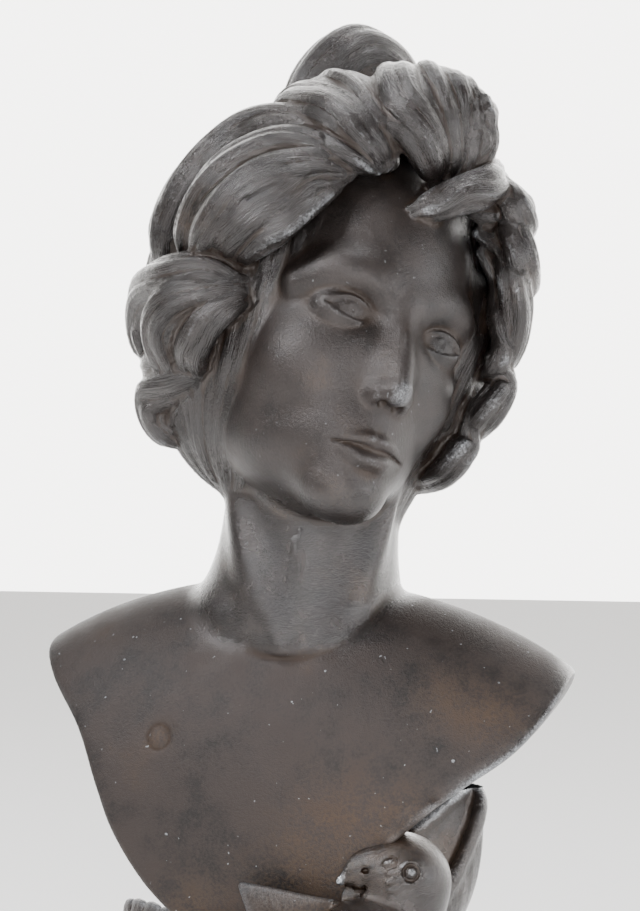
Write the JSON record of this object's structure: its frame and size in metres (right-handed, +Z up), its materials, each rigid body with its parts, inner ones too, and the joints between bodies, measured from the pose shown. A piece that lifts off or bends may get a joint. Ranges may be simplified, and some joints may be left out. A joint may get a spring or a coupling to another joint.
{
  "type": "spelter female bust",
  "caption": "Cast spelter bust of a young woman with upswept hair, a dove with a blank band in its beak at the foot, on a round turned plinth.",
  "frame": {"origin": "centre of the plinth's round underside, on the surface that it stands on", "axes": "+Z up through the plinth to the top of the hair, -Y out of the chest's front, +X towards the figure's left shoulder"},
  "size_m": [0.205, 0.1772, 0.4187],
  "materials": {
    "patinated_spelter": "satin",
    "patinated_spelter_plinth": "satin"
  },
  "bodies": {
    "root": {"bust": "patinated_spelter", "dove": "patinated_spelter", "plinth": "patinated_spelter_plinth"}
  },
  "joints": []
}
